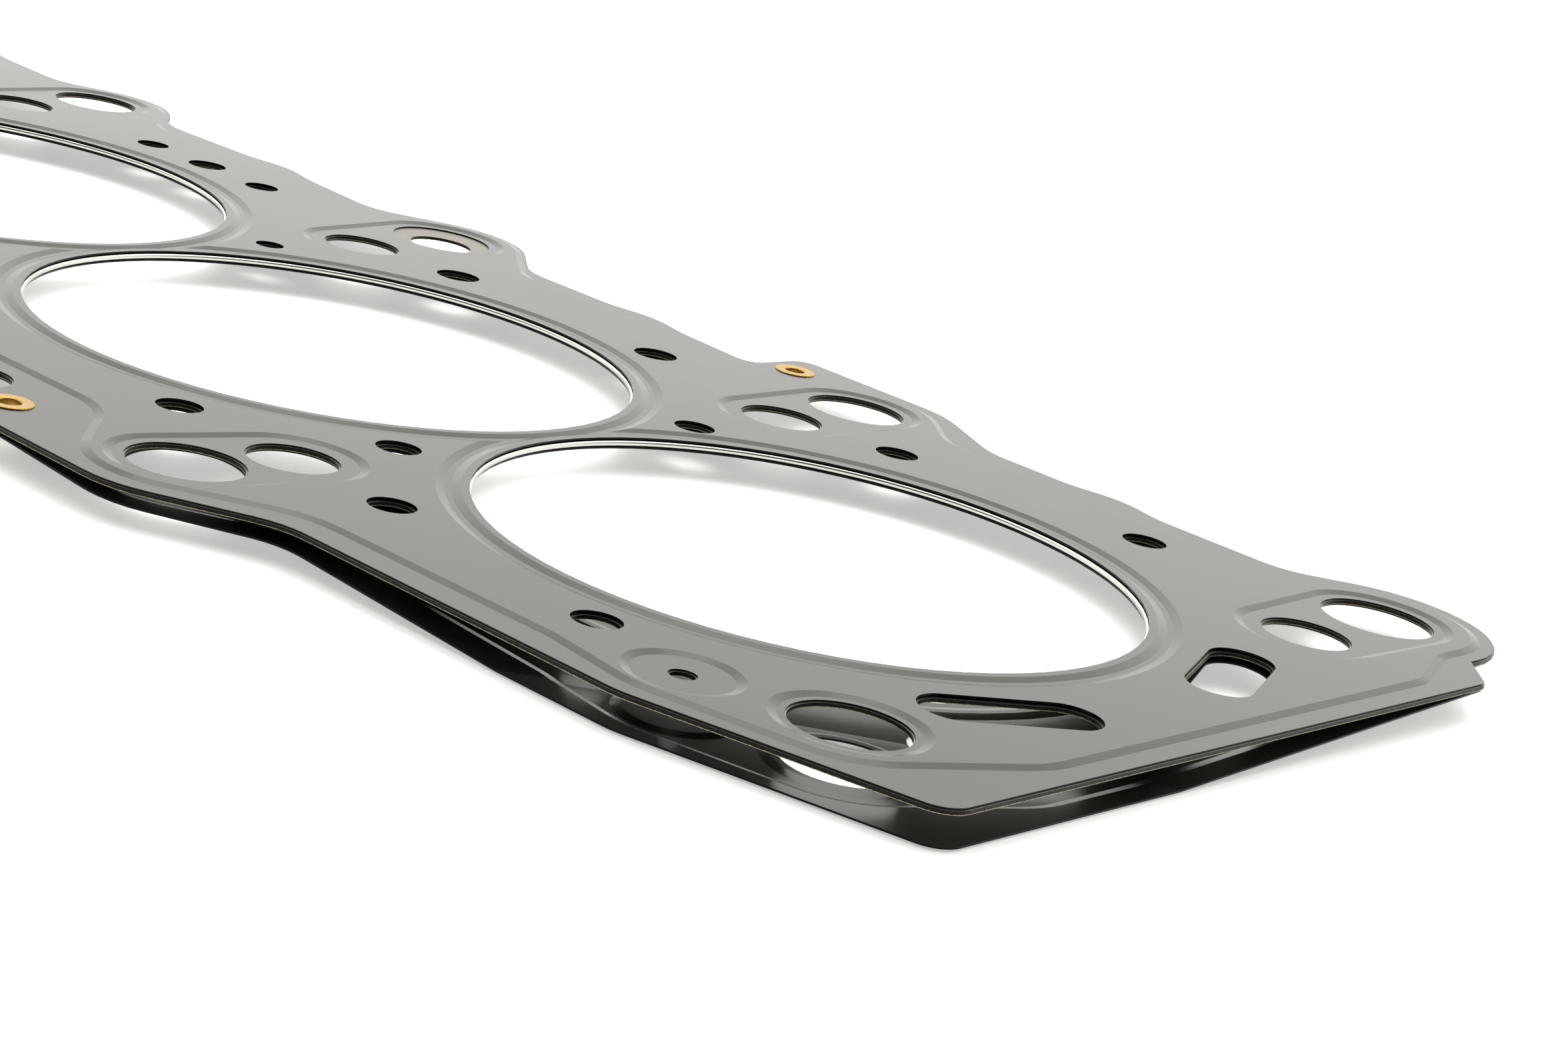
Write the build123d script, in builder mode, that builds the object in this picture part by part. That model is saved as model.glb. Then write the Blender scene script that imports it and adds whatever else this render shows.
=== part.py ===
from build123d import *
from math import cos, radians, sin
import os

# Multi-layer steel head gasket for an inline four-cylinder engine, in millimetres.
# X runs along the bore row, +Y is the wide side with the long lobes and +Z is the cylinder head.
# The origin lies in the middle of the bore row, on the face that seals against the block.
# Two embossed, rubber-coated outer sheets hold a thicker plain spacer between them. A folded steel
# ring grips the spacer round every bore, and brass eyelets hold the stack together.

# ---- Driving dimensions -------------------------------------------------------------------------

# Cylinders, counted from the +X end. A column is a line across the row, between two bores or
# half a pitch beyond an end bore, and column 0 is at the +X end.
bore_count = 4
bore_diameter = 87.0
web_between_bores = 4.0

# Sheets and their embossing
outer_sheet = 0.25
spacer_sheet = 0.50
spacer_overhang = 0.2
bead_height = 0.30
bead_slope = 1.2

# Bolt holes, one at each end of every column
bolt_row_beyond_bore = 3.5
bolt_hole_radius = 6.0
oil_fed_bolt_hole_radius = 7.2

# Outline, measured from the outermost columns and from the rows of bolt holes
end_margin = 21.2
wide_margin = 23.5
narrow_margin = 18.7
hump_height = 2.2
hump_half_width = 8.0
hump_shift = 2.0
hump_radius = 12.0
corner_radius = 4.0
tight_corner_radius = 3.0
hollow_radius = 10.0
soft_hollow_radius = 12.0
lobe_slope = 42.0

# Width of the flange round each drain hole, out to the cut edge
end_lobe_flange = 8.0
tab_lobe_flange = 7.5
middle_lobe_flange = 6.0
far_lobe_flange = 6.2
narrow_lobe_flange = 7.7

# Hollows of the wide side that lie inside the wide margin
middle_lobe_setback = 2.0
far_lobe_setback = 1.0

# +X end of the outline
end_taper_length = 38.0
end_taper_depth = 0.3
end_corner_rise = 9.5
end_straight_past_bolt = 9.8
end_lobe_foot_past_bolt = 16.4
end_lobe_foot_radius = 1.0

# Tab beside the first lobe of the wide side, which carries an eyelet
tab_x_from_column = 23.7
tab_hollow_from_drain = 21.5
tab_notch_depth = 3.5
tab_eyelet_from_edge = 4.8
tab_eyelet_past_bolt = 25.1

# Lobe of the narrow side: where it starts and ends along the row, and its free corner
narrow_lobe_start = 57.0
narrow_lobe_corner = 46.0
narrow_lobe_corner_past_bolt = 29.5
narrow_lobe_corner_radius = 8.0
narrow_lobe_heading = 33.0
narrow_lobe_end = 20.0
narrow_eyelet_from_bore = 18.9
narrow_eyelet_past_bolt = 23.0

# Margins of the embossing line round holes and inside the outline
lobe_line_margin = 4.9
well_line_margin = 2.0
bolt_well_margin = 3.0
oil_fed_well_margin = 1.5
wide_line_inset = 4.3
narrow_line_inset = 4.8
end_line_inset = 3.5
line_corner_radius = 8.0

# Embossing line at the +X end, drawn in round the oil feed and the oil-fed bolt hole
end_lobe_line_extra = 0.6
end_lobe_line_foot_past_bolt = 13.0
feed_line_swell = 1.6
feed_line_dip = 0.6
feed_line_lead_in = 14.0
feed_line_radius = 12.0
oil_fed_line_margin = 4.4
oil_fed_line_headings = (14.5, 66.0)
oil_fed_line_past_bolt = 13.1
oil_fed_line_radius = 15.0

# Embossing line of the narrow side's lobes
narrow_line_headings = (-45.0, 35.0)
narrow_line_end = 19.0
narrow_line_end_radius = 14.0
narrow_step_from_column = 22.0
narrow_step_past_bolt = 12.0
narrow_step_radius = 12.0

# Full bead round each bore
bore_rim_width = 1.1
bore_groove_floor = 0.8
bore_groove_slope = 1.2

# Folded bore rings
ring_sheet = 0.13
ring_leaf_width = 1.4
ring_into_bore = 0.4

# Brass eyelets
eyelet_hole_radius = 1.5
eyelet_wall = 0.35
eyelet_flange_radius = 3.1
eyelet_flange_thickness = 0.2
eyelet_clearance = 0.1
eyelet_rim_rounding = 0.12
eyelet_mouth_rounding = 0.28

# Metering hole that the spacer leaves in one drain hole
metering_hole_radius = 5.0
metering_shift = 2.0

# The block-side sheet slopes away from the stack at one corner of the +X end, and lies level there.
sag_drop = 3.6
sag_run = 50.0
sag_line_past_bore = 5.0
sag_line_heading = 44.0

# ---- Derived sizes ------------------------------------------------------------------------------

bore_radius = bore_diameter / 2
bore_pitch = bore_diameter + web_between_bores
bolt_row = bore_radius + bolt_row_beyond_bore
end_x = bore_count * bore_pitch / 2 + end_margin
wide_y = bolt_row + wide_margin
narrow_y = bolt_row + narrow_margin


def column_x(column: int) -> float:
    """X of a column between two bores, counted from the +X end."""
    return (bore_count / 2 - column) * bore_pitch


def bore_x(bore: int) -> float:
    """X of a bore's axis, counted from 0 at the +X end."""
    return column_x(bore) - bore_pitch / 2


# Heights of the sheet faces, from the block up
block_step_z = bead_height
spacer_z = bead_height + outer_sheet
head_step_z = spacer_z + spacer_sheet
stack_top = head_step_z + outer_sheet + bead_height

# ---- Hole pattern: (x, y, radius) ---------------------------------------------------------------

bolt_holes = [
    (column_x(c), side * bolt_row, bolt_hole_radius)
    for c in range(bore_count + 1)
    for side in (1, -1)
]
bolt_holes.remove((column_x(0), -bolt_row, bolt_hole_radius))
oil_fed_bolt_hole = (column_x(0), -bolt_row, oil_fed_bolt_hole_radius)

# A drain hole beyond the bolt hole, on the same column: (column, side, shift, beyond the row, radius)
drain_layout = [
    (0, 1, -0.3, 18.7, 7.7),
    (1, 1, -0.6, 18.0, 7.3),
    (2, 1, -2.1, 19.8, 8.0),
    (3, 1, -2.2, 18.8, 7.2),
    (4, 1, 0.3, 18.7, 7.7),
    (1, -1, -2.0, 15.3, 7.5),
    (3, -1, 2.0, 15.3, 7.5),
]
drain_holes = {
    (c, side): (column_x(c) + shift, side * (bolt_row + beyond), radius)
    for c, side, shift, beyond, radius in drain_layout
}

# Coolant holes round the bores: (bore, side, shift along the row, beyond the bore, radius)
coolant_layout = [
    (0, -1, 11.9, 8.4, 3.1),
    (0, -1, -26.9, 4.0, 3.1),
    (0, 1, 12.5, 13.8, 3.1),
    (0, 1, -27.1, 7.8, 3.1),
    (1, -1, 24.7, 4.5, 3.1),
    (1, -1, -25.5, 4.5, 3.1),
    (1, 1, 15.9, 8.0, 3.3),
    (1, 1, -26.4, 6.8, 3.4),
    (2, -1, 25.5, 4.5, 3.1),
    (2, -1, -24.7, 4.5, 3.1),
    (2, 1, 11.5, 11.3, 2.8),
    (2, 1, -2.6, 11.1, 3.2),
    (2, 1, -16.5, 10.5, 2.7),
    (3, -1, 26.9, 4.0, 3.1),
    (3, 1, 27.1, 7.8, 3.1),
    (3, 1, -12.1, 13.5, 3.1),
]
coolant_holes = [
    (bore_x(bore) + shift, side * (bore_radius + beyond), radius)
    for bore, side, shift, beyond, radius in coolant_layout
]

# Small coolant holes in the webs, beside the narrowest place: (column, shift, y, radius)
web_layout = [
    (1, 1.5, 26.2, 2.9),
    (1, 0.0, -29.2, 3.0),
    (2, 0.0, 27.4, 2.2),
    (2, 0.0, -27.4, 2.6),
    (3, -1.5, 26.2, 2.9),
    (3, 0.0, -29.2, 3.0),
]
web_holes = [(column_x(c) + shift, y, radius) for c, shift, y, radius in web_layout]

# Oil feed with a bead ring of its own, and the vent beside each eyelet of the narrow side
oil_feed_from_bore, oil_feed_past_bolt, oil_feed_radius = 27.7, 7.6, 1.7
oil_feed = (bore_x(0) + oil_feed_from_bore, -(bolt_row + oil_feed_past_bolt), oil_feed_radius)
oil_feed_ring_radius = 6.6
vent_from_bore, vent_past_bolt, vent_radius = 8.1, 20.5, 5.0
vent_holes = [
    (side * (bore_x(1) + vent_from_bore), -(bolt_row + vent_past_bolt), vent_radius)
    for side in (1, -1)
]

# Rounded coolant slots beyond the end bores: their radius, and the two ends of each centre line
slot_radius = 4.25
slots = [
    ((column_x(0) + 3.7, 25.6), (column_x(0) + 8.2, 13.6)),
    ((column_x(0) + 8.2, -17.8), (column_x(0) + 1.2, -30.3)),
]
slots += [((-x1, y1), (-x2, y2)) for (x1, y1), (x2, y2) in slots]

# Eyelets: one in the tab of the wide side, the rest on the lobes of the narrow side
tab_x = column_x(1) - tab_x_from_column
narrow_eyelet_x = bore_x(1) + narrow_eyelet_from_bore
narrow_eyelet_y = -(bolt_row + narrow_eyelet_past_bolt)
eyelets = [
    (tab_x + tab_eyelet_from_edge, bolt_row + tab_eyelet_past_bolt),
    (narrow_eyelet_x, narrow_eyelet_y),
    (-narrow_eyelet_x, narrow_eyelet_y),
]

# ---- Outlines -----------------------------------------------------------------------------------


def corner_round(hole: tuple, radius: float, heading_in: float, heading_out: float) -> tuple:
    """Corner of a control polygon whose fillet is concentric with a hole, walking anticlockwise."""
    reach = radius / cos(radians((heading_out - heading_in) / 2))
    outward = radians((heading_in + heading_out) / 2 - 90)
    return hole[0] + reach * cos(outward), hole[1] + reach * sin(outward), radius


def lobe(hole: tuple, radius: float, base_y: float) -> list:
    """Lobe of the wide side, round a hole: hollow, apex and hollow, walking towards -X."""
    apex = corner_round(hole, radius, 180 - lobe_slope, 180 + lobe_slope)
    run = (apex[1] - base_y) * cos(radians(lobe_slope)) / sin(radians(lobe_slope))
    return [(hole[0] + run, base_y, hollow_radius), apex, (hole[0] - run, base_y, hollow_radius)]


def hump(bore: int, base_y: float) -> list:
    """Slight swelling of the wide side abreast of a bore, walking towards -X."""
    x = bore_x(bore) - hump_shift
    return [
        (x + hump_half_width, base_y, hump_radius),
        (x, base_y + hump_height, hump_radius),
        (x - hump_half_width, base_y, hump_radius),
    ]


def rounded_loop(points: list) -> None:
    """Draws a closed control polygon of (x, y, radius) corners on the line in hand."""
    FilletPolyline([(x, y) for x, y, _ in points], radius=[r for _, _, r in points], close=True)


def end_outline() -> list:
    """+X end of the sheets, from the narrow side to the hollow past the end lobe."""
    hole = drain_holes[0, 1]
    lobe_radius = hole[2] + end_lobe_flange
    apex = corner_round(hole, lobe_radius, 90, 180 + lobe_slope)
    shoulder = corner_round(hole, lobe_radius, 180 - lobe_slope, 180 + lobe_slope)
    run = (shoulder[1] - wide_y) * cos(radians(lobe_slope)) / sin(radians(lobe_slope))
    return [
        (end_x - end_taper_length, -narrow_y - end_taper_depth, soft_hollow_radius),
        (end_x, -narrow_y + end_corner_rise, corner_radius),
        (end_x, bolt_row + end_straight_past_bolt, tight_corner_radius),
        (hole[0] + lobe_radius, bolt_row + end_lobe_foot_past_bolt, end_lobe_foot_radius),
        apex,
        (hole[0] - run, wide_y, hollow_radius),
    ]


def mirrored(points: list) -> list:
    """The same corners at the -X end, in the order that keeps the walk anticlockwise."""
    return [(-x, y, r) for x, y, r in reversed(points)]


tab_drain = drain_holes[1, 1]
tab_lobe_radius = tab_drain[2] + tab_lobe_flange
tab_lobe = [
    (tab_drain[0] + tab_hollow_from_drain, wide_y, hollow_radius),
    corner_round(tab_drain, tab_lobe_radius, 180 - lobe_slope, 180),
    (tab_x, tab_drain[1] + tab_lobe_radius, tight_corner_radius),
    (tab_x, wide_y - tab_notch_depth, tight_corner_radius),
]

narrow_drain = drain_holes[1, -1]
narrow_lobe = [
    (column_x(1) - narrow_lobe_start, -narrow_y, hollow_radius),
    (
        column_x(1) - narrow_lobe_corner,
        -bolt_row - narrow_lobe_corner_past_bolt,
        narrow_lobe_corner_radius,
    ),
    corner_round(narrow_drain, narrow_drain[2] + narrow_lobe_flange, 0, narrow_lobe_heading),
    (column_x(1) + narrow_lobe_end, -narrow_y, soft_hollow_radius),
]

middle_base_y = wide_y - middle_lobe_setback
middle_drain = drain_holes[2, 1]
far_drain = drain_holes[3, 1]

outline = end_outline()
outline += hump(0, wide_y)
outline += tab_lobe
outline += hump(1, middle_base_y)
outline += lobe(middle_drain, middle_drain[2] + middle_lobe_flange, middle_base_y)
outline += hump(2, wide_y)
outline += lobe(far_drain, far_drain[2] + far_lobe_flange, wide_y - far_lobe_setback)
outline += mirrored(hump(0, wide_y))
outline += mirrored(end_outline())
outline += mirrored(narrow_lobe)
outline += narrow_lobe

# ---- Embossing lines ----------------------------------------------------------------------------

line_end_x = end_x - end_line_inset
wide_line_y = wide_y - wide_line_inset
narrow_line_y = narrow_y - narrow_line_inset
feed_line_y = narrow_line_y + feed_line_swell


def end_field_line() -> list:
    """Edge of the raised field at the +X end, drawn in round the oil-fed bolt hole."""
    hole = drain_holes[0, 1]
    lobe_radius = hole[2] + lobe_line_margin + end_lobe_line_extra
    shoulder = corner_round(hole, lobe_radius, 180 - lobe_slope, 180 + lobe_slope)
    run = (shoulder[1] - wide_line_y) * cos(radians(lobe_slope)) / sin(radians(lobe_slope))
    return [
        (oil_feed[0] - feed_line_lead_in, -narrow_line_y, line_corner_radius),
        (oil_feed[0], -feed_line_y - feed_line_dip, feed_line_radius),
        corner_round(
            oil_fed_bolt_hole,
            oil_fed_bolt_hole_radius + oil_fed_line_margin,
            *oil_fed_line_headings,
        ),
        (line_end_x, -bolt_row + oil_fed_line_past_bolt, oil_fed_line_radius),
        (line_end_x, bolt_row, line_corner_radius),
        (hole[0] + lobe_radius, bolt_row + end_lobe_line_foot_past_bolt, line_corner_radius),
        corner_round(hole, lobe_radius, 90, 180 + lobe_slope),
        (hole[0] - run, wide_line_y, hollow_radius),
    ]


def field_lobe(column: int, base_y: float) -> list:
    """Edge of the raised field round a drain hole of the wide side."""
    hole = drain_holes[column, 1]
    return lobe(hole, hole[2] + lobe_line_margin, base_y)


narrow_field_lobe = [
    corner_round(narrow_drain, narrow_drain[2] + lobe_line_margin, *narrow_line_headings),
    (column_x(1) + narrow_line_end, -narrow_line_y, narrow_line_end_radius),
]
narrow_field_step = [
    (column_x(1) - narrow_step_from_column, -bolt_row - narrow_step_past_bolt, narrow_step_radius)
]

field_line = end_field_line()
field_line += field_lobe(1, wide_line_y)
field_line += field_lobe(2, wide_line_y - middle_lobe_setback)
field_line += field_lobe(3, wide_line_y - far_lobe_setback)
field_line += mirrored(end_field_line())
field_line += mirrored(narrow_field_step + narrow_field_lobe)
field_line += narrow_field_step + narrow_field_lobe

wells = [((column_x(c), side * bolt_row), drain) for (c, side), drain in drain_holes.items()]
lone_wells = [
    (oil_fed_bolt_hole[0], oil_fed_bolt_hole[1], oil_fed_bolt_hole[2] + oil_fed_well_margin),
    (column_x(2), -bolt_row, bolt_hole_radius + well_line_margin),
    (column_x(4), -bolt_row, bolt_hole_radius + well_line_margin),
    (oil_feed[0], oil_feed[1], oil_feed_ring_radius),
]
sheet_blank_margin = 10.0
half_slope = bead_slope / 2

# ---- Embossed form: everything under the upper face of the head-side sheet -----------------------

# Flat margin of the head-side sheet, where its upper face lies a bead below the raised field
step_z = stack_top - bead_height
bore_positions = [(bore_x(bore), 0) for bore in range(bore_count)]
rim_radius = bore_radius + bore_rim_width
floor_inner_radius = rim_radius + bore_groove_slope
floor_outer_radius = floor_inner_radius + bore_groove_floor
groove_radius = floor_outer_radius + bore_groove_slope


def well_plug(circles: list) -> Part:
    """Plug that cuts a sloped well round one hole or a pair, given as (x, y, radius)."""
    with BuildPart() as plug:
        with BuildSketch(Plane.XY.offset(step_z)):
            for x, y, radius in circles:
                with Locations((x, y)):
                    Circle(radius + half_slope)
            make_hull()
        extrude(amount=2 * bead_height)
        foot = plug.faces().sort_by(Axis.Z)[0]
        chamfer(foot.edges(), bead_slope, bead_height, reference=foot)
    return plug.part


def groove_disc(low_radius: float, high_radius: float, x: float) -> Part:
    """Conical disc, one bead high, on the axis of a bore, with a cylinder above it."""
    above = (high_radius - low_radius) / 4
    with BuildPart() as disc:
        with BuildSketch(Plane.XZ):
            with BuildLine():
                Polyline(
                    (x, step_z),
                    (x + low_radius, step_z),
                    (x + high_radius, stack_top),
                    (x + high_radius, stack_top + above),
                    (x, stack_top + above),
                    close=True,
                )
            make_face()
        revolve(axis=Axis((x, 0, 0), (0, 0, 1)))
    return disc.part


well_circles = [
    [
        (bolt[0], bolt[1], bolt_hole_radius + bolt_well_margin),
        (drain[0], drain[1], drain[2] + well_line_margin),
    ]
    for bolt, drain in wells
]
well_circles += [[well] for well in lone_wells]
well_plugs = [well_plug(circles) for circles in well_circles]
groove_discs = [groove_disc(floor_outer_radius, groove_radius, x) for x, _ in bore_positions]

with BuildPart() as raised_field:
    with BuildSketch(Plane.XY.offset(head_step_z)):
        with BuildLine():
            rounded_loop(field_line)
        make_face()
        offset(amount=half_slope)
    extrude(amount=outer_sheet + bead_height)
    top = raised_field.faces().sort_by(Axis.Z)[-1]
    chamfer(top.edges(), bead_slope, bead_height, reference=top)

with BuildPart() as embossed_form:
    with BuildSketch(Plane.XY.offset(head_step_z)):
        Rectangle(2 * end_x + 2 * sheet_blank_margin, 2 * wide_y + 4 * sheet_blank_margin)
    extrude(amount=outer_sheet)
    add(raised_field.part)
    add(well_plugs, mode=Mode.SUBTRACT)
    add(groove_discs, mode=Mode.SUBTRACT)
    for x, y in bore_positions:
        with Locations((x, y, step_z + bead_height / 2)):
            Cone(floor_inner_radius, rim_radius, bead_height)

# ---- Holes and outline, shared by every sheet ----------------------------------------------------


def slot_opening(ends: tuple, radius: float) -> Sketch:
    """Rounded slot round a straight centre line, given by its two ends."""
    with BuildSketch() as slot:
        with Locations(*ends):
            Circle(radius)
        make_hull()
    return slot.sketch


def sheet_face(overhang: float) -> Sketch:
    """Outline and ports of a sheet, with every cut edge standing out past the outer sheets'."""
    with BuildSketch() as face:
        with BuildLine():
            rounded_loop(outline)
        make_face()
        if overhang:
            offset(amount=overhang)
        for x, y, radius in round_holes:
            with Locations((x, y)):
                Circle(radius - overhang, mode=Mode.SUBTRACT)
        for ends in slots:
            add(slot_opening(ends, slot_radius - overhang), mode=Mode.SUBTRACT)
        with Locations(*eyelets):
            Circle(eyelet_hole_radius + eyelet_wall + eyelet_clearance, mode=Mode.SUBTRACT)
    return face.sketch


round_holes = bolt_holes + coolant_holes + web_holes + vent_holes + list(drain_holes.values())
round_holes += [oil_fed_bolt_hole, oil_feed]

with BuildPart() as head_side_layer:
    add(embossed_form.part)
    add(embossed_form.part.moved(Location((0, 0, -outer_sheet))), mode=Mode.SUBTRACT)
    with BuildSketch(Plane.XY.offset(head_step_z - 1)):
        add(sheet_face(0))
        with Locations(*bore_positions):
            Circle(bore_radius, mode=Mode.SUBTRACT)
    extrude(amount=outer_sheet + bead_height + 2, mode=Mode.INTERSECT)
head_side_layer.part.label = "head_side_layer"

# ---- Spacer: a plain sheet between the embossed ones ---------------------------------------------

ring_half_height = spacer_sheet / 2 + ring_sheet
spacer_bore_radius = bore_radius - ring_into_bore + ring_half_height

# The spacer closes most of one drain hole and meters the flow through a smaller one.
metered_x, metered_y, metered_radius = drain_holes[2, 1]
with BuildPart() as spacer_layer:
    with BuildSketch(Plane.XY.offset(spacer_z)):
        add(sheet_face(spacer_overhang))
        with Locations(*bore_positions):
            Circle(spacer_bore_radius, mode=Mode.SUBTRACT)
        with Locations((metered_x, metered_y)):
            Circle(metered_radius)
        with Locations((metered_x + metering_shift, metered_y - metering_shift)):
            Circle(metering_hole_radius, mode=Mode.SUBTRACT)
    extrude(amount=spacer_sheet)
spacer_layer.part.label = "spacer_layer"

# ---- Folded bore rings ---------------------------------------------------------------------------


def bore_ring(bore: int) -> Part:
    """Thin steel ring folded round the spacer's bore edge."""
    fold = Vector(bore_x(bore) + spacer_bore_radius, spacer_z + spacer_sheet / 2)
    leaf_end = fold.X + ring_leaf_width
    inner = spacer_sheet / 2
    outer = ring_half_height
    with BuildPart() as ring:
        with BuildSketch(Plane.XZ):
            with BuildLine():
                Line((leaf_end, fold.Y + outer), (fold.X, fold.Y + outer))
                ThreePointArc((fold.X, fold.Y + outer), (fold.X - outer, fold.Y), (fold.X, fold.Y - outer))
                Line((fold.X, fold.Y - outer), (leaf_end, fold.Y - outer))
                Line((leaf_end, fold.Y - outer), (leaf_end, fold.Y - inner))
                Line((leaf_end, fold.Y - inner), (fold.X, fold.Y - inner))
                ThreePointArc((fold.X, fold.Y - inner), (fold.X - inner, fold.Y), (fold.X, fold.Y + inner))
                Line((fold.X, fold.Y + inner), (leaf_end, fold.Y + inner))
                Line((leaf_end, fold.Y + inner), (leaf_end, fold.Y + outer))
            make_face()
        revolve(axis=Axis((bore_x(bore), 0, 0), (0, 0, 1)))
    return ring.part


bore_rings = [bore_ring(bore) for bore in range(bore_count)]
for number, ring in enumerate(bore_rings, start=1):
    ring.label = f"bore_ring_{number}"

# ---- Brass eyelets -------------------------------------------------------------------------------


def eyelet(x: float, y: float) -> Part:
    """Turned eyelet: a tube with a flange seated on each outer sheet's flat margin."""
    tube_radius = eyelet_hole_radius + eyelet_wall
    low_seat = block_step_z
    high_seat = step_z
    with BuildPart() as rivet:
        with BuildSketch(Plane.XY.offset(low_seat - eyelet_flange_thickness)):
            Circle(eyelet_flange_radius)
        extrude(amount=eyelet_flange_thickness)
        with BuildSketch(Plane.XY.offset(low_seat)):
            Circle(tube_radius)
        extrude(amount=high_seat - low_seat)
        with BuildSketch(Plane.XY.offset(high_seat)):
            Circle(eyelet_flange_radius)
        extrude(amount=eyelet_flange_thickness)
        outer_rims = rivet.edges().filter_by(GeomType.CIRCLE).group_by(Axis.Z)
        fillet(outer_rims[-1] + outer_rims[0], eyelet_rim_rounding)
        with BuildSketch(Plane.XY.offset(low_seat - eyelet_flange_thickness)):
            Circle(eyelet_hole_radius)
        extrude(amount=high_seat - low_seat + 2 * eyelet_flange_thickness, mode=Mode.SUBTRACT)
        mouths = rivet.faces().sort_by(Axis.Z)
        mouth_rims = [
            edge
            for face in (mouths[0], mouths[-1])
            for edge in face.edges().sort_by(SortBy.RADIUS)[:1]
        ]
        fillet(mouth_rims, eyelet_mouth_rounding)
    return rivet.part.moved(Location((x, y, 0)))


eyelet_parts = [eyelet(x, y) for x, y in eyelets]
for number, part in enumerate(eyelet_parts, start=1):
    part.label = f"eyelet_{number}"

# ---- Block-side sheet: the mirror image of the head-side sheet, sagging at one corner ------------

with BuildPart() as flat_block_layer:
    add(head_side_layer.part.mirror(Plane.XY.offset(stack_top / 2)))
flat_block = flat_block_layer.part

fold_along = Vector(cos(radians(sag_line_heading)), sin(radians(sag_line_heading)), 0)
fold_across = fold_along.cross(Vector(0, 0, 1))
fold_point = Vector(bore_x(0), 0, 0) + fold_across * sag_line_past_bore
fold_plane = Plane(origin=fold_point, x_dir=fold_along, z_dir=fold_across)
level_plane = fold_plane.offset(sag_run)
slope = -sag_drop / sag_run
sag_shear = Matrix(
    [
        [1, 0, 0, 0],
        [0, 1, 0, 0],
        [slope * fold_across.X, slope * fold_across.Y, 1, -slope * fold_across.dot(fold_point)],
        [0, 0, 0, 1],
    ]
)
with BuildPart() as still_part:
    add(flat_block)
    split(bisect_by=fold_plane, keep=Keep.BOTTOM)
with BuildPart() as sloping_part:
    add(flat_block)
    split(bisect_by=fold_plane, keep=Keep.TOP)
    split(bisect_by=level_plane, keep=Keep.BOTTOM)
with BuildPart() as lowered_part:
    add(flat_block)
    split(bisect_by=level_plane, keep=Keep.TOP)
with BuildPart() as block_side_layer:
    add(still_part.part)
    add(sloping_part.part.transform_geometry(sag_shear))
    add(lowered_part.part.moved(Location((0, 0, -sag_drop))))
block_side_layer.part.label = "block_side_layer"

# ---- Files ---------------------------------------------------------------------------------------

os.makedirs("parts", exist_ok=True)
pieces = [head_side_layer.part, spacer_layer.part, block_side_layer.part]
pieces += bore_rings
pieces += eyelet_parts
for piece in pieces:
    export_step(piece, f"parts/{piece.label}.step")
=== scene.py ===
"""Looks of a multi-layer steel cylinder head gasket: finishes, floor, studio light and camera.

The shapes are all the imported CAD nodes. This script gives each its surface: black rubber coating on
the embossed outer sheets, sheared bare steel on the spacer between them, bright stainless steel on
the folded bore rings and brass on the eyelets.
"""

from __future__ import annotations

import logging
import math
from dataclasses import dataclass
from enum import Enum

import bpy
from mathutils import Matrix, Vector


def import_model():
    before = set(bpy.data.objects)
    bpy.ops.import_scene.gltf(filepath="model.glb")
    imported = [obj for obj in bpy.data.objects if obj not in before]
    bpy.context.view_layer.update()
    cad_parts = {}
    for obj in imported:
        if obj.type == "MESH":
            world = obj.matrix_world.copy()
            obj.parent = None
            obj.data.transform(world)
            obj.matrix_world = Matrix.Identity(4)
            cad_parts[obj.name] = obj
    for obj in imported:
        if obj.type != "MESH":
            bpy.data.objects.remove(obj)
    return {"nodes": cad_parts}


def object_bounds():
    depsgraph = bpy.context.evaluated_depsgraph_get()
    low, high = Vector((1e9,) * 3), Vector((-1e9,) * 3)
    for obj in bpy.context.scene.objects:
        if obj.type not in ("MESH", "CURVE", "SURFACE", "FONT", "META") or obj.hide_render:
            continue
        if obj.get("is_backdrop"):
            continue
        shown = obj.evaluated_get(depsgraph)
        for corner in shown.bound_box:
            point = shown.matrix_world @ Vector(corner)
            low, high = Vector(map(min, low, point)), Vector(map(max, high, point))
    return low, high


LOG = logging.getLogger("gasket")
MM = 0.001

# Upward part of a normal, below which a face counts as a cut edge and above which it doesn't
STEEP = 0.45
SLANTED = 0.75

# Band about the average of a noise pattern, in which most of its values lie
NOISE_LOW = 0.3
NOISE_HIGH = 0.7


class Slot(Enum):
    """Material slots of the record."""

    COATED = "coated_sheet"
    PLAIN = "plain_sheet"
    RING = "ring_steel"
    BRASS = "brass"


def linear(hex_code: str) -> tuple[float, float, float, float]:
    """Turns an sRGB hex colour to linear light.

    Args:
        hex_code: Colour as "#RRGGBB".

    Returns:
        Linear red, green and blue, and an alpha of 1.
    """
    channels = []
    for start in (1, 3, 5):
        value = int(hex_code[start : start + 2], 16) / 255
        channels.append(value / 12.92 if value <= 0.04045 else ((value + 0.055) / 1.055) ** 2.4)
    return channels[0], channels[1], channels[2], 1.0


def add_node(
    tree: bpy.types.NodeTree,
    kind: str,
    settings: dict | None = None,
    **inputs: object,
) -> bpy.types.Node:
    """Adds a node with its settings, input values and links.

    Args:
        tree: Node tree that gets the node.
        kind: Blender's name of the node type.
        settings: Attributes of the node itself.
        **inputs: Input values, or output sockets to link, by name. An underscore stands for a
            space, and a name such as in_0 picks an input by its number.

    Returns:
        The new node.
    """
    node = tree.nodes.new(kind)
    for name, value in (settings or {}).items():
        setattr(node, name, value)
    for name, value in inputs.items():
        numbered = name.startswith("in_")
        socket = node.inputs[int(name[3:]) if numbered else name.replace("_", " ")]
        if isinstance(value, bpy.types.NodeSocket):
            tree.links.new(value, socket)
        else:
            socket.default_value = value
    return node


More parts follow.
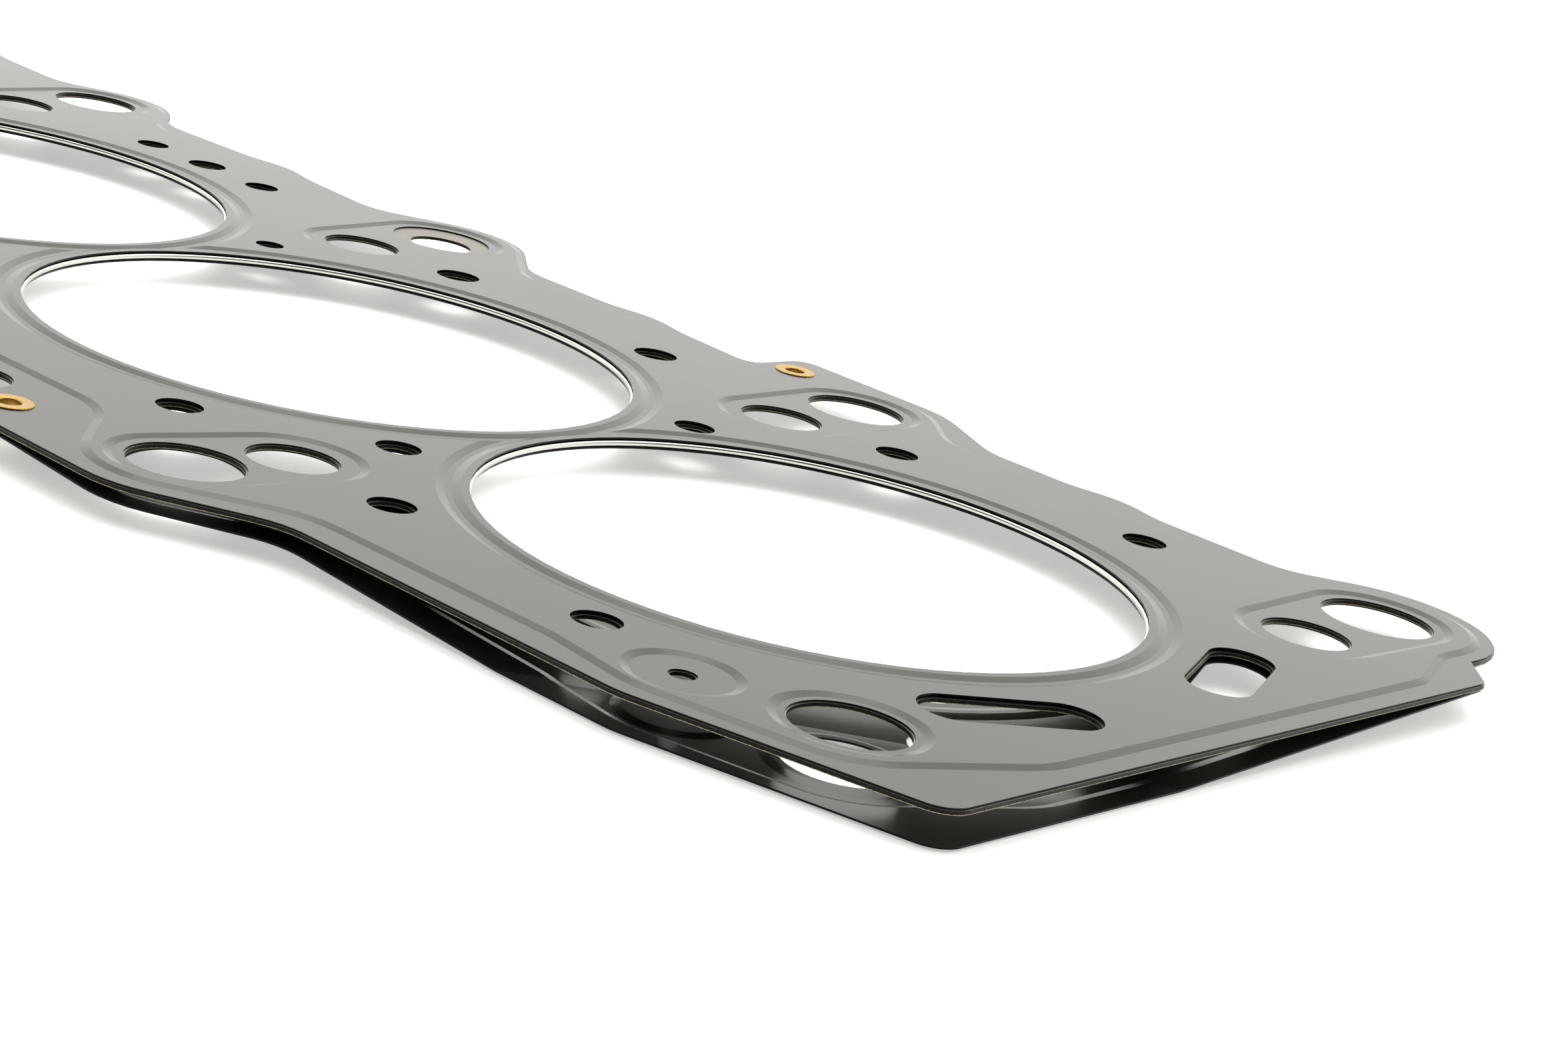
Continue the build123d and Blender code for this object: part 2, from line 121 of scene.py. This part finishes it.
def frequency(size_mm: float) -> float:
    """Texture scale that gives cells of a real size, for coordinates in metres."""
    return 1.0 / (size_mm * MM)


@dataclass
class Surface:
    """A finish under construction: its node tree, its shader and the object's own coordinates."""

    material: bpy.types.Material
    tree: bpy.types.NodeTree
    shader: bpy.types.Node
    place: bpy.types.NodeSocket

    @classmethod
    def start(cls, name: str) -> Surface:
        """Makes an empty material with one Principled shader.

        Args:
            name: Name of the material.

        Returns:
            The surface, ready for its pattern nodes.
        """
        material = bpy.data.materials.new(name)
        material.use_nodes = True
        tree = material.node_tree
        tree.nodes.clear()
        shader = add_node(tree, "ShaderNodeBsdfPrincipled")
        add_node(tree, "ShaderNodeOutputMaterial", Surface=shader.outputs["BSDF"])
        place = add_node(tree, "ShaderNodeTexCoord").outputs["Object"]
        return cls(material, tree, shader, place)

    def noise(
        self,
        size_mm: float,
        detail: float = 2.0,
        place: bpy.types.NodeSocket | None = None,
    ) -> bpy.types.NodeSocket:
        """Soft noise with lumps of a real size.

        Args:
            size_mm: Size of a lump.
            detail: Number of finer octaves.
            place: Coordinates, where they aren't the object's own.

        Returns:
            The noise value, about 0.5 on average.
        """
        vector = self.place if place is None else place
        node = add_node(
            self.tree,
            "ShaderNodeTexNoise",
            Vector=vector,
            Scale=frequency(size_mm),
            Detail=detail,
        )
        return node.outputs["Fac"]

    def stretched(self, x: float, y: float, z: float, turn: float = 0.0) -> bpy.types.NodeSocket:
        """The object's coordinates, stretched along each axis and turned about Z.

        Args:
            x: Factor along X.
            y: Factor along Y.
            z: Factor along Z.
            turn: Turn about Z, in degrees.

        Returns:
            The new coordinates.
        """
        node = add_node(
            self.tree,
            "ShaderNodeMapping",
            Vector=self.place,
            Scale=(x, y, z),
            Rotation=(0.0, 0.0, math.radians(turn)),
        )
        return node.outputs["Vector"]

    def ramp(
        self,
        value: bpy.types.NodeSocket,
        low: float,
        high: float,
        start: float,
        end: float,
    ) -> bpy.types.NodeSocket:
        """Maps a range of a value to another, and clamps it.

        Args:
            value: Socket to map.
            low: Value that gives start.
            high: Value that gives end.
            start: Result at low.
            end: Result at high.

        Returns:
            The mapped value.
        """
        node = add_node(
            self.tree,
            "ShaderNodeMapRange",
            in_0=value,
            in_1=low,
            in_2=high,
            in_3=start,
            in_4=end,
        )
        return node.outputs[0]

    def blend(
        self,
        share: bpy.types.NodeSocket,
        first: object,
        second: object,
    ) -> bpy.types.NodeSocket:
        """Mixes two colours.

        Args:
            share: Share of the second colour.
            first: Colour or socket at 0.
            second: Colour or socket at 1.

        Returns:
            The mixed colour.
        """
        colours = {"data_type": "RGBA"}
        node = add_node(self.tree, "ShaderNodeMix", colours, in_0=share, in_6=first, in_7=second)
        return node.outputs[2]

    def calculate(self, kind: str, first: object, second: object = 0.0) -> bpy.types.NodeSocket:
        """One step of arithmetic.

        Args:
            kind: Blender's name of the operation.
            first: First number or socket.
            second: Second number or socket.

        Returns:
            The result.
        """
        node = add_node(self.tree, "ShaderNodeMath", {"operation": kind}, in_0=first, in_1=second)
        return node.outputs[0]

    def upright(self) -> bpy.types.NodeSocket:
        """1 on faces that stand on edge, such as a sheet's cut edge, and 0 on level ones."""
        normal = add_node(self.tree, "ShaderNodeNewGeometry").outputs["Normal"]
        height = add_node(self.tree, "ShaderNodeSeparateXYZ", Vector=normal).outputs["Z"]
        return self.ramp(self.calculate("ABSOLUTE", height), STEEP, SLANTED, 1.0, 0.0)

    def bump(self, height: bpy.types.NodeSocket, depth_mm: float) -> None:
        """Gives the shader a fine relief.

        Args:
            height: Height pattern, from 0 to 1.
            depth_mm: Real height of the pattern.
        """
        depth = depth_mm * MM
        node = add_node(self.tree, "ShaderNodeBump", Strength=1.0, Distance=depth, Height=height)
        self.tree.links.new(node.outputs["Normal"], self.shader.inputs["Normal"])

    def set(self, **inputs: object) -> None:
        """Sets or links inputs of the shader, by name with underscores for spaces."""
        for name, value in inputs.items():
            socket = self.shader.inputs[name.replace("_", " ")]
            if isinstance(value, bpy.types.NodeSocket):
                self.tree.links.new(value, socket)
            else:
                socket.default_value = value


@dataclass(frozen=True)
class RubberCoating:
    """Nitrile rubber roller-coated on steel: a smooth black skin with hair scratches and specks."""

    colour: str = "#22201D"
    # Near-black colour of the cut edges is painted shade: it stands in place of their bare steel, with
    # little reflection left
    worn_colour: str = "#282622"
    painted_edge_shade: str = "#060606"
    sheen_tint: str = "#FFFAF0"
    ior: float = 1.54
    roughness: float = 0.2
    roughness_drop: float = 0.015
    roughness_rise: float = 0.02
    face_gloss: float = 0.5
    edge_gloss: float = 0.1
    peel_mm: float = 2.2
    peel_depth_mm: float = 0.0006
    mottle_mm: float = 26.0
    mottle_band: tuple[float, float] = (0.35, 0.65)
    scratch_turns: tuple[float, float] = (24.0, -58.0)
    scratch_run_mm: float = 34.0
    scratch_thinness: float = 14.0
    scratch_patch_mm: float = 24.0
    scratch_patch_band: tuple[float, float] = (0.64, 0.72)
    scratch_half_width: float = 0.012
    scratch_paleness: float = 0.1
    scratch_roughness: float = 0.05
    speck_spacing_mm: float = 9.0
    speck_band: tuple[float, float] = (0.006, 0.012)
    speck_rarity: tuple[float, float] = (0.7, 0.71)
    speck_paleness: float = 0.6
    speck_colour: str = "#B9B5AB"

    def material(self) -> bpy.types.Material:
        """Builds the finish.

        Returns:
            The material.
        """
        surface = Surface.start("nitrile_rubber_coating")
        edge = surface.upright()
        cloud = surface.noise(self.mottle_mm, 3.0)
        worn = surface.ramp(cloud, *self.mottle_band, 0.0, 1.0)
        skin = surface.blend(worn, linear(self.colour), linear(self.worn_colour))
        scratch = self.scratches(surface)
        pale = surface.calculate("MULTIPLY", scratch, self.scratch_paleness)
        marked = surface.blend(pale, skin, linear(self.speck_colour))
        dusted = surface.blend(self.specks(surface), marked, linear(self.speck_colour))
        smoothest = self.roughness - self.roughness_drop
        roughest = self.roughness + self.roughness_rise
        smooth = surface.ramp(cloud, NOISE_LOW, NOISE_HIGH, smoothest, roughest)
        rough = surface.calculate("MULTIPLY", scratch, self.scratch_roughness)
        surface.bump(surface.noise(self.peel_mm, 1.0), self.peel_depth_mm)
        # Cut edges get painted shade: near-black in place of their bare steel
        surface.set(Base_Color=surface.blend(edge, dusted, linear(self.painted_edge_shade)), IOR=self.ior)
        surface.set(Specular_IOR_Level=surface.ramp(edge, 0.0, 1.0, self.face_gloss, self.edge_gloss))
        surface.set(Specular_Tint=linear(self.sheen_tint))
        surface.set(Roughness=surface.calculate("ADD", smooth, rough))
        return surface.material

    def scratches(self, surface: Surface) -> bpy.types.NodeSocket:
        """Sparse hair scratches from handling, in two directions.

        Args:
            surface: Finish under construction.

        Returns:
            1 on a scratch and 0 elsewhere.
        """
        lines = []
        for turn in self.scratch_turns:
            along = surface.stretched(1.0, self.scratch_thinness, 1.0, turn)
            thread = surface.noise(self.scratch_run_mm, 1.0, along)
            offset = surface.calculate("ABSOLUTE", surface.calculate("SUBTRACT", thread, 0.5))
            lines.append(surface.ramp(offset, 0.0, self.scratch_half_width, 1.0, 0.0))
        spread = surface.noise(self.scratch_patch_mm, 1.0)
        patch = surface.ramp(spread, *self.scratch_patch_band, 0.0, 1.0)
        return surface.calculate("MULTIPLY", surface.calculate("MAXIMUM", *lines), patch)

    def specks(self, surface: Surface) -> bpy.types.NodeSocket:
        """Sparse pale dust specks.

        Args:
            surface: Finish under construction.

        Returns:
            1 on a speck and 0 elsewhere.
        """
        scale = frequency(self.speck_spacing_mm)
        cells = add_node(surface.tree, "ShaderNodeTexVoronoi", Vector=surface.place, Scale=scale)
        dot = surface.ramp(cells.outputs["Distance"], *self.speck_band, 1.0, 0.0)
        parts = add_node(surface.tree, "ShaderNodeSeparateColor", Color=cells.outputs["Color"])
        chosen = surface.ramp(parts.outputs[0], *self.speck_rarity, 0.0, self.speck_paleness)
        return surface.calculate("MULTIPLY", dot, chosen)


@dataclass(frozen=True)
class ShearedSteel:
    """Cold-rolled spring steel, bare: grey on its face, near-black painted shade with a random grain on
    its sheared edge, and a pale burr.
    """

    face: str = "#8B867C"
    # Near-black colours of the sheared edge are painted shade, darker than bare steel; the grain
    # between them is the fracture's own texture
    torn_painted_shade: str = "#0C0A09"
    torn_painted_shade_pale: str = "#2C261F"
    burr: str = "#9A907A"
    roughness: float = 0.42
    roughness_drop: float = 0.08
    roughness_rise: float = 0.12
    metallic: float = 0.75
    grain_mm: float = 0.22
    grain_depth_mm: float = 0.012
    torn_band: tuple[float, float] = (0.52, 0.7)
    burr_mm: float = 0.06
    burr_ragged_mm: float = 0.04
    burr_fade_mm: float = 0.02
    lower_face_mm: float = 0.55

    def material(self) -> bpy.types.Material:
        """Builds the finish.

        Returns:
            The material.
        """
        surface = Surface.start("sheared_spring_steel")
        grain = surface.noise(self.grain_mm, 4.0)
        light = surface.ramp(grain, *self.torn_band, 0.0, 1.0)
        # Painted shade on the sheared edge, varied by the grain
        torn_painted_shade = surface.blend(light, linear(self.torn_painted_shade), linear(self.torn_painted_shade_pale))
        height = add_node(surface.tree, "ShaderNodeSeparateXYZ", Vector=surface.place).outputs["Z"]
        reach = self.burr_ragged_mm * MM
        shift = surface.ramp(grain, NOISE_LOW, NOISE_HIGH, -reach, reach)
        ragged = surface.calculate("ADD", height, shift)
        burr_top = (self.lower_face_mm + self.burr_mm) * MM
        burr = surface.ramp(ragged, burr_top, burr_top + self.burr_fade_mm * MM, 1.0, 0.0)
        cut = surface.blend(burr, torn_painted_shade, linear(self.burr))
        colour = surface.blend(surface.upright(), linear(self.face), cut)
        surface.set(Base_Color=colour, Metallic=self.metallic)
        smoothest = self.roughness - self.roughness_drop
        roughest = self.roughness + self.roughness_rise
        surface.set(Roughness=surface.ramp(grain, NOISE_LOW, NOISE_HIGH, smoothest, roughest))
        surface.bump(grain, self.grain_depth_mm)
        return surface.material


@dataclass(frozen=True)
class RingSteel:
    """Annealed stainless strip, folded and bright: a smooth metal with faint drawing lines."""

    colour: str = "#D2D0CB"
    roughness: float = 0.1
    roughness_drop: float = 0.03
    roughness_rise: float = 0.05
    lines_mm: float = 0.2
    lines_depth_mm: float = 0.0015
    lines_stretch: float = 0.03

    def material(self) -> bpy.types.Material:
        """Builds the finish.

        Returns:
            The material.
        """
        surface = Surface.start("bright_stainless_ring")
        drawn = surface.stretched(self.lines_stretch, self.lines_stretch, 1.0)
        lines = surface.noise(self.lines_mm, 2.0, drawn)
        surface.set(Base_Color=linear(self.colour), Metallic=1.0)
        smoothest = self.roughness - self.roughness_drop
        roughest = self.roughness + self.roughness_rise
        surface.set(Roughness=surface.ramp(lines, NOISE_LOW, NOISE_HIGH, smoothest, roughest))
        surface.bump(lines, self.lines_depth_mm)
        return surface.material


@dataclass(frozen=True)
class RolledBrass:
    """Thin brass, drawn and rolled over: warm yellow, half bright, with fine tool marks."""

    colour: str = "#C6A052"
    shade: str = "#9C7836"
    roughness: float = 0.3
    roughness_drop: float = 0.06
    roughness_rise: float = 0.08
    marks_mm: float = 0.3
    marks_depth_mm: float = 0.003

    def material(self) -> bpy.types.Material:
        """Builds the finish.

        Returns:
            The material.
        """
        surface = Surface.start("rolled_brass")
        marks = surface.noise(self.marks_mm, 3.0)
        light = surface.ramp(marks, NOISE_LOW, NOISE_HIGH, 0.0, 1.0)
        colour = surface.blend(light, linear(self.shade), linear(self.colour))
        surface.set(Base_Color=colour, Metallic=1.0)
        smoothest = self.roughness - self.roughness_drop
        roughest = self.roughness + self.roughness_rise
        surface.set(Roughness=surface.ramp(marks, NOISE_LOW, NOISE_HIGH, smoothest, roughest))
        surface.bump(marks, self.marks_depth_mm)
        return surface.material


@dataclass
class Gasket:
    """The gasket's CAD nodes, dressed by what they are made of."""

    nodes: dict
    coating: RubberCoating
    sheared: ShearedSteel
    ring: RingSteel
    brass: RolledBrass

    def dress(self) -> None:
        """Gives every CAD node its finish, by the slot that its name belongs to."""
        finishes = {
            "_side_layer": (self.coating.material(), Slot.COATED),
            "spacer_layer": (self.sheared.material(), Slot.PLAIN),
            "bore_ring": (self.ring.material(), Slot.RING),
            "eyelet": (self.brass.material(), Slot.BRASS),
        }
        for name, piece in sorted(self.nodes.items()):
            material, slot = next(found for key, found in finishes.items() if key in name)
            piece.data.materials.clear()
            piece.data.materials.append(material)
            LOG.info("%s: %s, slot %s", name, material.name, slot.value)


@dataclass
class Studio:
    """Plain pale floor and soft light: a bright sky beyond the part and a dim one behind the camera."""

    floor_z: float
    floor_half_width: float = 6.0
    floor_colour: str = "#F2F2F0"
    floor_roughness: float = 0.45
    floor_glow: float = 0.5
    bright: float = 1.56
    dim: float = 0.12
    sky_colour: str = "#FFFEFA"
    dim_until: float = -0.3
    bright_from: float = 0.6
    bright_towards: tuple[float, float, float] = (-0.58, 0.77, 0.5)
    softbox_size: tuple[float, float] = (1.6, 1.2)
    softbox_energy: float = 10.0
    softbox_place: tuple[float, float, float] = (-0.2, 0.5, 1.4)

    def build(self) -> None:
        """Builds the floor, the sky and the overhead light."""
        self.floor()
        self.sky()
        self.overhead()

    def floor(self) -> None:
        """Lays the floor that the part rests on."""
        half = self.floor_half_width
        mesh = bpy.data.meshes.new("floor")
        corners = [(-half, -half, 0.0), (half, -half, 0.0), (half, half, 0.0), (-half, half, 0.0)]
        mesh.from_pydata(corners, [], [(0, 1, 2, 3)])
        floor = bpy.data.objects.new("floor", mesh)
        floor.location.z = self.floor_z
        bpy.context.scene.collection.objects.link(floor)
        surface = Surface.start("white_laminate")
        surface.set(Base_Color=linear(self.floor_colour), Roughness=self.floor_roughness)
        surface.set(Emission_Color=linear(self.floor_colour), Emission_Strength=self.floor_glow)
        mesh.materials.append(surface.material)
        floor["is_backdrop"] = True

    def sky(self) -> None:
        """Lights the scene from all round, brightest beyond the part."""
        world = bpy.data.worlds.new("studio")
        bpy.context.scene.world = world
        world.use_nodes = True
        tree = world.node_tree
        tree.nodes.clear()
        direction = add_node(tree, "ShaderNodeTexCoord").outputs["Generated"]
        towards = Vector(self.bright_towards).normalized()
        dot = {"operation": "DOT_PRODUCT"}
        facing = add_node(tree, "ShaderNodeVectorMath", dot, in_0=direction, in_1=towards)
        level = add_node(
            tree,
            "ShaderNodeMapRange",
            {"interpolation_type": "SMOOTHSTEP"},
            in_0=facing.outputs["Value"],
            in_1=self.dim_until,
            in_2=self.bright_from,
            in_3=self.dim,
            in_4=self.bright,
        )
        tint = linear(self.sky_colour)
        background = add_node(tree, "ShaderNodeBackground", Color=tint, Strength=level.outputs[0])
        add_node(tree, "ShaderNodeOutputWorld", Surface=background.outputs[0])

    def overhead(self) -> None:
        """Hangs a large soft light above the part, which keeps the floor white."""
        light = bpy.data.lights.new("overhead_softbox", "AREA")
        light.shape = "RECTANGLE"
        light.size, light.size_y = self.softbox_size
        light.energy = self.softbox_energy
        lamp = bpy.data.objects.new("overhead_softbox", light)
        lamp.location = self.softbox_place
        lamp.rotation_euler = (-lamp.location).to_track_quat("-Z", "Y").to_euler()
        bpy.context.scene.collection.objects.link(lamp)


@dataclass(frozen=True)
class Viewpoint:
    """The camera: low over the near end, with a long lens and a slight roll."""

    place_mm: tuple[float, float, float] = (377.8, -321.3, 114.3)
    right: tuple[float, float, float] = (0.7421, 0.6390, 0.2024)
    up: tuple[float, float, float] = (-0.3242, 0.0780, 0.9427)
    lens_mm: float = 76.15
    sensor_mm: float = 36.0
    clip_start: float = 0.01

    def build(self) -> None:
        """Makes the camera and hands it to the scene."""
        data = bpy.data.cameras.new("camera")
        data.lens = self.lens_mm
        data.sensor_width = self.sensor_mm
        data.clip_start = self.clip_start
        camera = bpy.data.objects.new("camera", data)
        right = Vector(self.right).normalized()
        back = right.cross(Vector(self.up)).normalized()
        up = back.cross(right)
        turn = Matrix((right, up, back)).transposed().to_4x4()
        camera.matrix_world = Matrix.Translation(Vector(self.place_mm) * MM) @ turn
        bpy.context.scene.collection.objects.link(camera)
        bpy.context.scene.camera = camera


def main() -> None:
    """Loads the frame, dresses the gasket and builds the studio round it."""
    logging.basicConfig(level=logging.INFO, format="%(message)s")
    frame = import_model()
    cad_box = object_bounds()
    Gasket(frame["nodes"], RubberCoating(), ShearedSteel(), RingSteel(), RolledBrass()).dress()
    Studio(floor_z=cad_box[0].z).build()
    Viewpoint().build()
    bpy.context.scene.view_settings.view_transform = "Standard"


if __name__ == "__main__":
    main()
